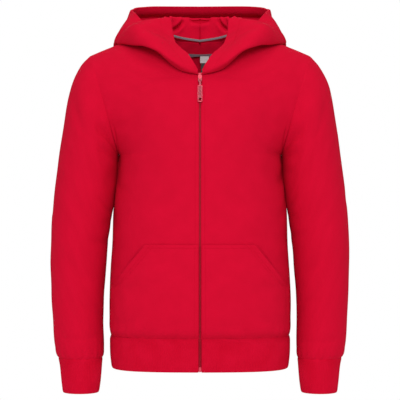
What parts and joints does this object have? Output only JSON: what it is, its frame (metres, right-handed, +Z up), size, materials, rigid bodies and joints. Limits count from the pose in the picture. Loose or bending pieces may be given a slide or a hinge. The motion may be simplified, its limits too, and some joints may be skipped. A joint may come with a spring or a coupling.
{
  "type": "child's zip-through hooded sweatshirt",
  "caption": "Child's hooded sweatshirt, zipped up and filled out, hollow inside, hood lying back, with pocket, ribbed cuffs and hem, and a swinging zip pull.",
  "frame": {"origin": "the middle of the neck, level with the back neck seam, where the wearer's neck and shoulders hold the garment", "axes": "+Z up along the body, -Y out of the zipped front, +X towards the wearer's left sleeve"},
  "size_m": [0.476, 0.2445, 0.6274],
  "materials": {
    "fleece": "matt brushed-back cotton fleece with a smooth fine-knit face",
    "rib": "matt fine rib knit",
    "lining": "matt fleece lining",
    "herringbone": "grey herringbone twill tape",
    "grey_label": "grey woven satin label, blank",
    "dark_label": "dark woven satin label, blank",
    "zip_tape": "red woven zip tape",
    "zip_teeth": "red nylon coil",
    "zip_metal": "red lacquered die-cast zinc"
  },
  "bodies": {
    "garment": {"front_left": "fleece", "front_right": "fleece", "back": "fleece", "sleeve_left": "fleece", "sleeve_right": "fleece", "cuff_left": "rib", "cuff_right": "rib", "hem_band": "rib", "pocket_left": "fleece", "pocket_right": "fleece", "hood_left": "fleece", "hood_right": "fleece", "hood_lining_left": "lining", "hood_lining_right": "lining", "neck_facing": "fleece", "neck_tape": "herringbone", "facing_binding": "herringbone", "size_label": "grey_label", "neck_label": "dark_label", "zip_tape_left": "zip_tape", "zip_tape_right": "zip_tape", "zip_chain": "zip_teeth", "zip_slider": "zip_metal", "zip_box": "zip_metal", "zip_stop_left": "zip_metal", "zip_stop_right": "zip_metal"},
    "zip_pull": {"zip_pull": "zip_metal"}
  },
  "joints": [
    {"name": "pull_swing", "type": "hinge", "parent": "garment", "child": "zip_pull", "pos_m": [0, -0.09492, -0.069], "axis": [-1, 0, 0], "range_deg": [0, 150]}
  ]
}
